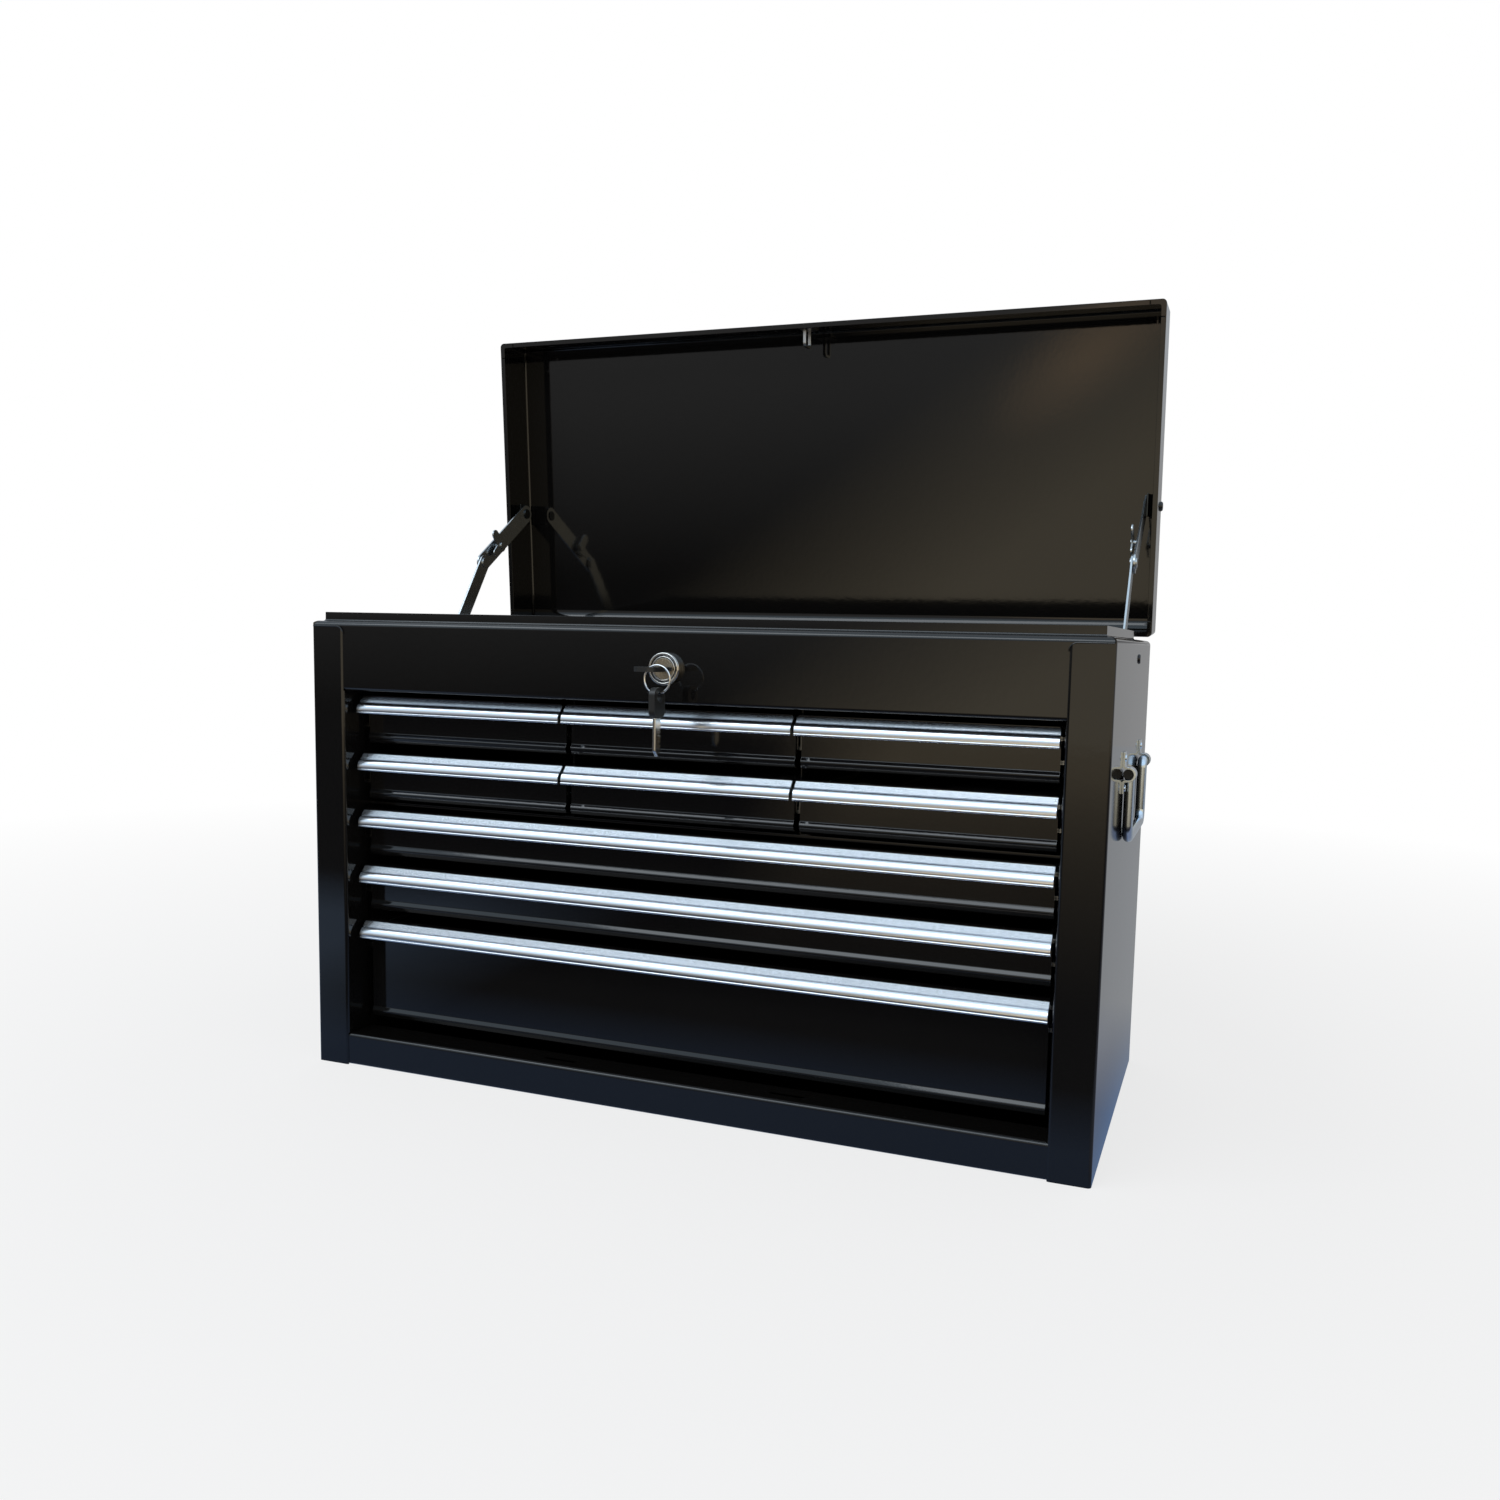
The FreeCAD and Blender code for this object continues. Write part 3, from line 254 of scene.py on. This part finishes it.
keyPlastic = mouldedPlastic("keyPlastic", (0.012, 0.012, 0.012, 1), (0.02, 0.02, 0.02, 1))
# A near-black plastic laid on as painted shade: in the lock's recessed groove, over its keyway and on the bail's
# hollow pin ends
capPlastic = mouldedPlastic("capPlastic", (0.008, 0.008, 0.008, 1), (0.014, 0.014, 0.014, 1))
print("finishes made")


dressLook = {"merge": 2e-6, "flat": 0.6, "easeTurn": 30, "shadeTurn": 38}


def roundEdges(mesh, edges, reach, steps, clamp=True):
    bmesh.ops.bevel(mesh, geom=edges, offset=reach, offset_type="OFFSET", segments=steps, profile=0.5,
                    affect="EDGES", clamp_overlap=clamp, material=-1)


# A dressed piece is a merged copy of its solid, with its sheet edges eased and
# its bends shaded smooth.
def easedCopy(nodeName, ease):
    mesh = bmesh.new()
    mesh.from_mesh(nodes[nodeName].data)
    bmesh.ops.remove_doubles(mesh, verts=mesh.verts, dist=dressLook["merge"])
    bmesh.ops.dissolve_limit(mesh, angle_limit=radians(dressLook["flat"]), use_dissolve_boundaries=False,
                             verts=mesh.verts, edges=mesh.edges, delimit=set())
    if ease:
        sharp = [edge for edge in mesh.edges if len(edge.link_faces) == 2 and edge.is_convex
                 and edge.calc_face_angle(0) > radians(dressLook["easeTurn"]) and edge.calc_length() > ease * 2]
        roundEdges(mesh, sharp, ease, 2, False)
    return mesh


def shadeByAngle(mesh):
    for face in mesh.faces:
        face.smooth = True
    for edge in mesh.edges:
        edge.smooth = len(edge.link_faces) == 2 and edge.calc_face_angle(0) < radians(dressLook["shadeTurn"])


def addPiece(name, mesh, body, finish):
    shadeByAngle(mesh)
    data = bpy.data.meshes.new(name)
    mesh.to_mesh(data)
    mesh.free()
    piece = bpy.data.objects.new(name, data)
    bpy.context.scene.collection.objects.link(piece)
    data.materials.append(finish)
    weighted = piece.modifiers.new("evenShading", "WEIGHTED_NORMAL")
    weighted.keep_sharp = True
    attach(piece, body)
    return piece


def pieceName(nodeName):
    words = nodeName.split("_")
    return words[0] + "".join(word.capitalize() for word in words[1:])


slotOf = {part["node"]: part["material_slot"] for part in frame["record"]["subparts"]}
slotFinish = {
    "case_paint": casePaint, "drawer_paint": drawerPaint, "pull_aluminium": pullMetal,
    "slide_zinc": slideZinc, "stay_zinc": stayZinc, "handle_chrome": handleChrome,
    "lock_nickel": lockNickel, "lock_steel": slideZinc, "key_black": keyPlastic, "ring_steel": ringSteel,
}
nodeFinish = {"lock_plug": plugBrass, "stay_brackets": stayDark}
easeOf = {
    "case_paint": 0.0002, "drawer_paint": 0.00016, "pull_aluminium": 0.0001, "slide_zinc": 0.00015,
    "stay_zinc": 0.0002, "handle_chrome": 0.0002, "lock_nickel": 0.0002, "lock_steel": 0.0002,
    "key_black": 0.0004, "ring_steel": 0,
}
nodeEase = {"side_panel_left": 0.00035, "side_panel_right": 0.00035}


def dressNode(nodeName):
    slot = slotOf[nodeName]
    mesh = easedCopy(nodeName, nodeEase.get(nodeName, easeOf[slot]))
    finish = nodeFinish.get(nodeName, slotFinish[slot])
    piece = addPiece(pieceName(nodeName), mesh, nodes[nodeName]["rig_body"], finish)
    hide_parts(nodeName)
    return piece


# Faces of a piece beyond a plane take its second finish.
def secondFinish(piece, finish, beyond):
    piece.data.materials.append(finish)
    for face in piece.data.polygons:
        if beyond(face.center):
            face.material_index = len(piece.data.materials) - 1


dressed = {nodeName: dressNode(nodeName) for nodeName in sorted(nodes)}
print("solids dressed:", len(dressed))

# The keys' heads are plastic and their blades metal. The spare key's blade is nickel; the blade of the key in the lock
# is darkened as painted shade of the keyway it stands in.
keyLook = {"headLength": 0.0231, "spareHeadLength": 0.0201}
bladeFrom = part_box("key_in_lock")[0].y + keyLook["headLength"]
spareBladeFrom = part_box("spare_key")[1].z - keyLook["spareHeadLength"]
secondFinish(dressed["key_in_lock"], stayDark, lambda place: place.y > bladeFrom)
secondFinish(dressed["spare_key"], keyNickel, lambda place: place.z < spareBladeFrom)

# The bail's pin ends are painted black, as painted shade of the hollows they seem to have.
pinLook = {"middle": 0.0075, "end": 0.0618}
for side in ("left", "right"):
    secondFinish(dressed["bail_" + side], capPlastic,
                 lambda place: abs(place.y - pinLook["middle"]) > pinLook["end"])
print("keys and handles finished")


# Round rivet heads, each sunk a little in its seat and facing out of it
def rivetHeads(name, seats, look, body, finish):
    mesh = bmesh.new()
    rims = []
    for seat, facing in seats:
        turn = Vector(facing).to_track_quat("Z", "Y").to_matrix().to_4x4()
        move = Matrix.Translation(Vector(seat) + Vector(facing) * (look["height"] / 2 - look["sunk"])) @ turn
        made = bmesh.ops.create_cone(mesh, cap_ends=True, cap_tris=False, segments=24, radius1=look["radius"],
                                     radius2=look["radius"], depth=look["height"])
        crown = [vert for vert in made["verts"] if vert.co.z > 0]
        rims += [edge for edge in mesh.edges if all(end in crown for end in edge.verts)]
        bmesh.ops.transform(mesh, matrix=move, verts=made["verts"])
    roundEdges(mesh, rims, look["height"] * 0.8, 3)
    return addPiece(name, mesh, body, finish)


halfWidth = 0.3
sides = (-1, 1)
stayRivetLook = {"radius": 0.0036, "height": 0.0013, "sunk": 0.0001, "along": 0.029, "high": 0.331}
bracketRivetLook = {"radius": 0.004, "height": 0.002, "sunk": 0.0001, "along": 0.161, "high": 0.4544}
for name, look, body in (("stayRivets", stayRivetLook, "case"), ("bracketRivets", bracketRivetLook, "lid")):
    seats = [((side * halfWidth, look["along"], look["high"]), (side, 0, 0)) for side in sides]
    rivetHeads(name, seats, look, body, casePaint)

clipRivetLook = {
    "radius": 0.0024, "height": 0.0009, "sunk": 0.0001, "out": 0.3015,
    "alongs": (-0.052, 0.067), "highs": (0.2656, 0.2455),
}
clipSeats = [((side * clipRivetLook["out"], along, high), (side, 0, 0)) for side in sides
             for along in clipRivetLook["alongs"] for high in clipRivetLook["highs"]]
rivetHeads("clipRivets", clipSeats, clipRivetLook, "case", handleChrome)

hingeRivetLook = {
    "radius": 0.0032, "height": 0.0011, "sunk": 0.0001, "count": 6, "pitch": 0.1,
    "caseSeat": (0.1302, 0.326), "lidSeat": (0.151, 0.3469),
}
leaves = (("hingeRivetsCase", "caseSeat", (0, 1, 0), "case"), ("hingeRivetsLid", "lidSeat", (0, 0, -1), "lid"))
for name, seat, facing, body in leaves:
    middle = (hingeRivetLook["count"] - 1) / 2
    seats = [(((index - middle) * hingeRivetLook["pitch"], *hingeRivetLook[seat]), facing)
             for index in range(hingeRivetLook["count"])]
    rivetHeads(name, seats, hingeRivetLook, body, slideZinc)
print("rivets set")

coveLook = {
    "halfLength": 0.2972, "radius": 0.012, "wallInside": 0.1289, "topInside": 0.3849, "sheet": 0.0008,
    "hinge": (0.0, 0.134, 0.344), "openBy": 86.4, "steps": 12,
}


# The lid's rear edge is rounded inside. It is made with the lid closed, then opened.
def lidCove(look):
    mesh = bmesh.new()
    start = look["wallInside"]
    middle = (0.0, start - look["radius"], look["topInside"] - look["radius"])
    ends = [mesh.verts.new((side * look["halfLength"], start, middle[2])) for side in sides]
    edge = mesh.edges.new(ends)
    bmesh.ops.spin(mesh, geom=ends + [edge], cent=middle, axis=(1, 0, 0), dvec=(0, 0, 0), angle=pi / 2,
                   steps=look["steps"], use_merge=False, use_duplicate=False)
    bmesh.ops.solidify(mesh, geom=mesh.faces[:], thickness=look["sheet"])
    bmesh.ops.recalc_face_normals(mesh, faces=mesh.faces)
    hinge = Matrix.Translation(look["hinge"])
    opened = hinge @ Matrix.Rotation(-radians(look["openBy"]), 4, "X") @ hinge.inverted()
    bmesh.ops.transform(mesh, matrix=opened, verts=mesh.verts)
    return addPiece("lidCove", mesh, "lid", casePaint)


postEdgeLook = {
    "inner": 0.27135, "outer": 0.2985, "top": 0.341, "corner": 0.0055, "face": -0.13,
    "bead": 0.0004, "beadSides": 8, "steps": 8,
}


# The front sheet of each post shows its cut edge along the top, round its inner corner.
def postEdge(name, side, look):
    mesh = bmesh.new()
    low = look["top"] - look["corner"]
    bend = look["inner"] + look["corner"]
    start = Matrix.Translation((side * look["inner"], look["face"], low))
    ring = bmesh.ops.create_circle(mesh, cap_ends=True, cap_tris=False, segments=look["beadSides"],
                                   radius=look["bead"], matrix=start)
    turned = bmesh.ops.spin(mesh, geom=ring["verts"][0].link_faces[:], cent=(side * bend, look["face"], low),
                            axis=(0, side, 0), dvec=(0, 0, 0), angle=pi / 2, steps=look["steps"],
                            use_merge=False, use_duplicate=False)
    ends = [item for item in turned["geom_last"] if isinstance(item, bmesh.types.BMFace)]
    drawn = bmesh.ops.extrude_face_region(mesh, geom=ends)["geom"]
    bmesh.ops.translate(mesh, vec=(side * (look["outer"] - bend), 0, 0),
                        verts=[item for item in drawn if isinstance(item, bmesh.types.BMVert)])
    bmesh.ops.recalc_face_normals(mesh, faces=mesh.faces)
    return addPiece(name, mesh, "case", casePaint)


lidCove(coveLook)
postEdge("postEdgeLeft", -1, postEdgeLook)
postEdge("postEdgeRight", 1, postEdgeLook)
print("edges of the sheets set")

# Each ring's inner and outer radius, and how far forward its face is
lockLook = {
    "middle": (0.0, 0.317), "seat": -0.1333, "steps": 64, "crestTurn": 1.2, "crest": 0.3,
    "rim": (0.0094, 0.0111, -0.1346), "groove": (0.0085, 0.0095, -0.1337), "collar": (0.0074, 0.0086, -0.1342),
    "keyway": (0.0128, 0.00035, 0.0024), "keywayFace": -0.1342,
}


# A turned ring about the lock's axis, from its seat out to its face
def lockRing(name, ring, finish, look):
    inner, outer, face = look[ring]
    across, high = look["middle"]
    mesh = bmesh.new()
    section = ((inner, look["seat"]), (outer, look["seat"]), (outer, face), (inner, face))
    corners = [mesh.verts.new((across + reach, along, high)) for reach, along in section]
    edges = [mesh.edges.new((corners[index - 1], corners[index])) for index in range(4)]
    bmesh.ops.spin(mesh, geom=corners + edges, cent=(across, 0, high), axis=(0, 1, 0), dvec=(0, 0, 0),
                   angle=2 * pi, steps=look["steps"], use_merge=True, use_duplicate=False)
    bmesh.ops.remove_doubles(mesh, verts=mesh.verts, dist=1e-7)
    bmesh.ops.recalc_face_normals(mesh, faces=mesh.faces)
    crests = [edge for edge in mesh.edges if all(abs(end.co.y - face) < 1e-7 for end in edge.verts)
              and edge.calc_face_angle(0) > look["crestTurn"]]
    roundEdges(mesh, crests, (outer - inner) * look["crest"], 3)
    return addPiece(name, mesh, "case", finish)


# A thin black sheet across the plug, painted shade standing in for the slot that the key stands in
def keyway(look):
    mesh = bmesh.new()
    across, high = look["middle"]
    bmesh.ops.create_cube(mesh, size=1.0)
    bmesh.ops.scale(mesh, vec=look["keyway"], verts=mesh.verts)
    bmesh.ops.translate(mesh, vec=(across, look["keywayFace"] + look["keyway"][1] / 2, high), verts=mesh.verts)
    return addPiece("keyway", mesh, "lock", capPlastic)


lockRing("lockRim", "rim", lockNickel, lockLook)
# painted shade: the recessed groove between rim and collar is black
lockRing("lockGroove", "groove", capPlastic, lockLook)
lockRing("lockCollar", "collar", lockNickel, lockLook)
keyway(lockLook)
print("lock's rings set")


# Pairs such as haze's are where a blend starts and over how much it rises.
roomLook = {
    "skyLevel": 0.42, "dome": (0.74, 0.83, 0.93, 1), "domeRise": (0.12, 0.4), "back": (0.372, 0.375, 0.38, 1),
    "gloom": (0.02, 0.02, 0.02, 1), "haze": (0.38, 0.38, 0.38, 1), "hazeRise": (-0.06, 0.18),
    "bright": (0.85, 1.06, 1.25, 1), "brightRise": (0.2, 0.2), "frontShare": 0.5, "frontFall": 2,
    "warm": (0.98, 0.85, 0.62, 1), "warmEdge": (-0.15, 0.083), "warmSlope": (0.602, 0.799),
    "warmOver": 0.14, "warmShare": 0.4,
    "sunset": (1.5, 1.1, 0.72, 1), "sunsetPlace": (-0.125, -0.985, 0.105), "sunsetReach": (0.1, 0.6, 0.035),
}


# The room is white for the camera. In reflections it has a pale back wall and
# ceiling, and in front of the chest a dim wall with a warm patch to the right.
def paleRoom(look):
    world = bpy.data.worlds.new("paleRoom")
    bpy.context.scene.world = world
    room = Wiring(world)
    heading = room.node("ShaderNodeTexCoord", {}, {}).outputs["Generated"]
    parts = room.node("ShaderNodeSeparateXYZ", {}, {"Vector": heading}).outputs
    across, along, up = [Amount(room, part) for part in parts]
    behind = room.between(up.rising(*look["domeRise"]), look["back"], look["dome"])
    low = room.between(up.rising(*look["hazeRise"]), look["gloom"], look["haze"])
    edge, slope = look["warmEdge"], look["warmSlope"]
    past = (across - edge[0]) * slope[0] - (up - edge[1]) * slope[1]
    low = room.between((past / look["warmOver"] + look["warmShare"]).clipped(), low, look["warm"])
    turned = {"Vector": heading, "Location": look["sunsetPlace"], "Rotation": (0, -atan2(*look["warmSlope"]), 0),
              "Scale": look["sunsetReach"]}
    spot = room.node("ShaderNodeMapping", {"vector_type": "TEXTURE"}, turned).outputs[0]
    glow = room.amount("ShaderNodeTexGradient", {"gradient_type": "SPHERICAL"}, {"Vector": spot}, "Fac")
    low = room.between(glow, low, look["sunset"])
    ahead = room.between(up.rising(*look["brightRise"]), low, look["bright"])
    mirrored = room.between((look["frontShare"] - along * look["frontFall"]).clipped(), behind, ahead)
    camera, glossy, through = room.seenRays()
    lit = room.between((glossy + through).clipped(), [look["skyLevel"]] * 3 + [1], mirrored)
    colour = room.between(camera, lit, (1, 1, 1, 1))
    sky = room.node("ShaderNodeBackground", {}, {"Color": colour, "Strength": 1.0})
    room.node("ShaderNodeOutputWorld", {}, {"Surface": sky.outputs[0]})


# The same kind of pairs, in metres over the floor; warmFan's is a slope
floorLook = {
    "size": 7.0, "colour": (0.9, 0.92, 0.95, 1), "shadowShare": 0.75, "fade": (0.45, 1.3),
    "shade": (0.03, 0.03, 0.035, 1), "warm": (0.8, 0.66, 0.45, 1), "warmFan": (-0.36, 0.14), "warmReach": (0.5, 2.2),
    "foot": (0.15, 0.23, 0.4, 1), "footAlong": (-0.3, 0.12), "side": (0.24, 0.27, 0.36, 1), "sideEdge": (-0.33, 0.03),
    "blue": (0.3, 0.42, 0.62, 1), "blueAside": (0.3, 0.25), "blueAlong": (-0.75, 0.2),
    "back": (0.36, 0.375, 0.395, 1), "backAlong": (0.0, 0.3),
}


# The floor is white with a soft shadow. In reflections it glows with painted colours: bluish near the
# chest, a painted shadow further in front with a warm patch in it, and pale behind.
def paleFloor(look):
    paint = Finish("floorPaint")
    paint.set(Base_Color=look["colour"], Roughness=0.9, Specular_IOR_Level=0.0)
    place = paint.place()
    away = paint.node("ShaderNodeVectorMath", {"operation": "LENGTH"}, {0: place}).outputs["Value"]
    fade = Amount(paint, away).rising(*look["fade"])
    parts = paint.node("ShaderNodeSeparateXYZ", {}, {"Vector": place}).outputs
    across, along = Amount(paint, parts[0]), Amount(paint, parts[1])
    leftward, ahead = 0 - across, 0 - along
    warmth = (across / (ahead + 0.001)).rising(*look["warmFan"]) * ahead.rising(*look["warmReach"])
    # painted shadow over the floor ahead, except in a warm patch
    seen = paint.between(warmth, look["shade"], look["warm"])
    near = along.rising(*look["footAlong"])
    inFront = leftward.rising(*look["sideEdge"])
    seen = paint.between(near * inFront, seen, look["foot"])
    seen = paint.between(near * (1 - inFront), seen, look["side"])
    aside = leftward.rising(*look["blueAside"]) * along.rising(*look["blueAlong"])
    seen = paint.between(aside, seen, look["blue"])
    seen = paint.between(along.rising(*look["backAlong"]), seen, look["back"])
    camera, glossy, through = paint.seenRays()
    glow = paint.node("ShaderNodeEmission", {}, {"Color": paint.between(camera, seen, (1, 1, 1, 1)), "Strength": 1.0})
    share = camera * (fade * (1 - look["shadowShare"]) + look["shadowShare"]) + glossy + through
    sockets = {0: share.clipped(), 1: paint.surface.outputs[0], 2: glow.outputs[0]}
    mixed = paint.node("ShaderNodeMixShader", {}, sockets)
    paint.feed(paint.output.inputs["Surface"], mixed.outputs[0])
    mesh = bmesh.new()
    bmesh.ops.create_grid(mesh, x_segments=1, y_segments=1, size=look["size"] / 2)
    data = bpy.data.meshes.new("floor")
    mesh.to_mesh(data)
    mesh.free()
    floor = bpy.data.objects.new("floor", data)
    bpy.context.scene.collection.objects.link(floor)
    data.materials.append(paint.material)


boxLook = {
    "place": (-0.75, -1.4, 1.9), "target": (0.0, 0.0, 0.25), "size": (2.2, 0.8), "watts": 15,
    "colour": (0.93, 0.97, 1.0),
}


def softbox(name, look):
    lamp = bpy.data.lights.new(name, "AREA")
    lamp.shape = "RECTANGLE"
    lamp.size, lamp.size_y = look["size"]
    lamp.energy = look["watts"]
    lamp.color = look["colour"]
    holder = bpy.data.objects.new(name, lamp)
    bpy.context.scene.collection.objects.link(holder)
    holder.location = look["place"]
    aim = Vector(look["target"]) - Vector(look["place"])
    holder.rotation_euler = aim.to_track_quat("-Z", "Y").to_euler()


paleRoom(roomLook)
paleFloor(floorLook)
softbox("frontBox", boxLook)
print("room lit")

# Read from the chest's edges in the photograph, whose frame is picture pixels wide
cameraLook = {
    "place": (0.3751, -0.8792, 0.3369), "yaw": 0.338, "pitch": 0.101, "roll": 0.024,
    "focalPixels": 1213.8, "centre": (818.0, 766.2), "picture": 1500, "sensor": 36.0, "nearest": 0.01,
}


def photoCamera(look):
    yaw, pitch, roll = look["yaw"], look["pitch"], look["roll"]
    forward = Vector((-sin(yaw) * cos(pitch), cos(yaw) * cos(pitch), -sin(pitch)))
    right = Vector((cos(yaw), sin(yaw), 0))
    up = right.cross(forward)
    rightRolled = cos(roll) * right + sin(roll) * up
    upRolled = cos(roll) * up - sin(roll) * right
    turn = Matrix((rightRolled, upRolled, -forward)).transposed().to_4x4()
    lens = bpy.data.cameras.new("photoCamera")
    lens.sensor_width = look["sensor"]
    lens.lens = look["sensor"] * look["focalPixels"] / look["picture"]
    half = look["picture"] / 2
    lens.shift_x = (half - look["centre"][0]) / look["picture"]
    lens.shift_y = (look["centre"][1] - half) / look["picture"]
    lens.clip_start = look["nearest"]
    camera = bpy.data.objects.new("photoCamera", lens)
    camera.matrix_world = Matrix.Translation(look["place"]) @ turn
    bpy.context.scene.collection.objects.link(camera)
    bpy.context.scene.camera = camera


photoCamera(cameraLook)
bpy.context.scene.view_settings.view_transform = "Standard"
